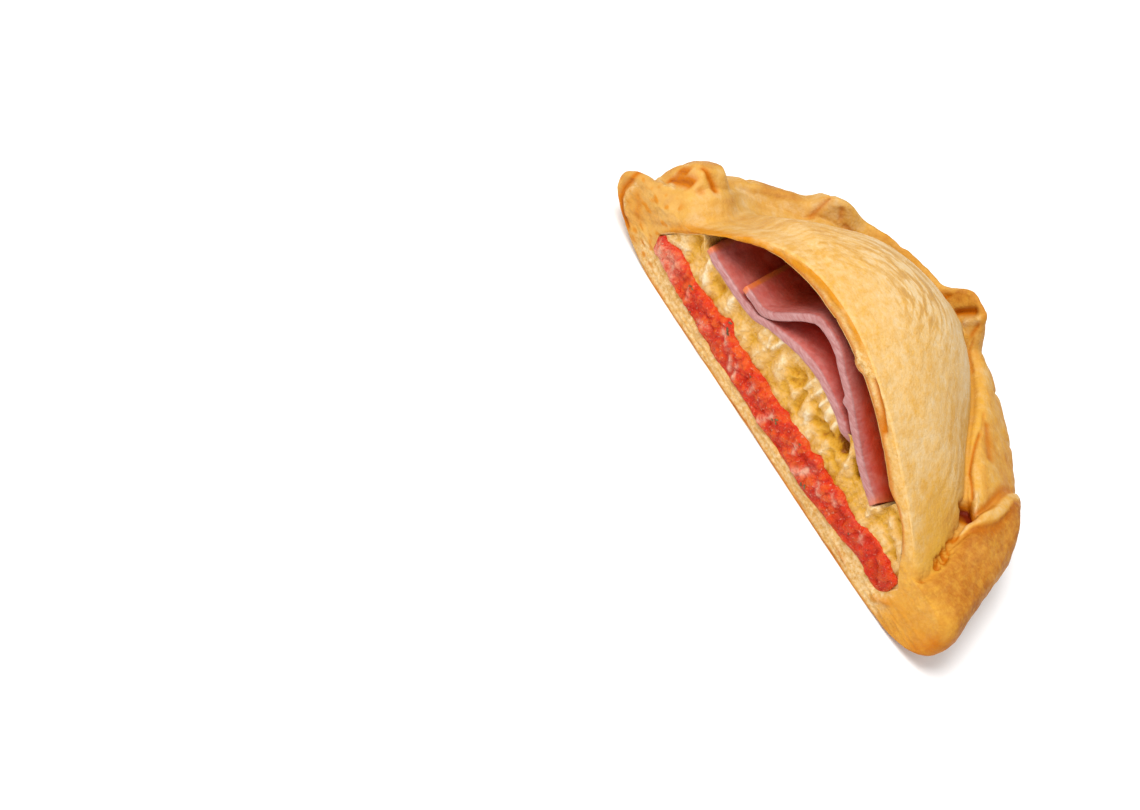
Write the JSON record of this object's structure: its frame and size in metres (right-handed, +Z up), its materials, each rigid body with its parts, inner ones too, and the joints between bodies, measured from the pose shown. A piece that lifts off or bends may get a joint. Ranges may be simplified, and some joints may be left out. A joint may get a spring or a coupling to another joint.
{
  "type": "ham and cheese pie half",
  "caption": "Half of a round baked pie with a folded rim and a domed lid, cut to show tomato sauce, melted cheese and folded ham.",
  "frame": {"origin": "middle of the footprint, on the surface that the pie rests on", "axes": "+X along the cut, to the right as the cut face is looked at; +Y away from the cut face, into the pie; +Z up"},
  "size_m": [0.1334, 0.066, 0.0468],
  "materials": {
    "crust": "baked golden yeast dough, sandy yellow on the lid and browner on the folds",
    "tomato_sauce": "moist orange red tomato sauce with herb flecks",
    "cheese": "creamy melted cheese, crumbly where it is cut",
    "ham": "moist pink cooked ham with paler cut edges"
  },
  "bodies": {
    "root": {"crust": "crust", "tomato_sauce": "tomato_sauce", "cheese": "cheese", "ham_lower": "ham", "ham_upper": "ham"}
  },
  "joints": []
}
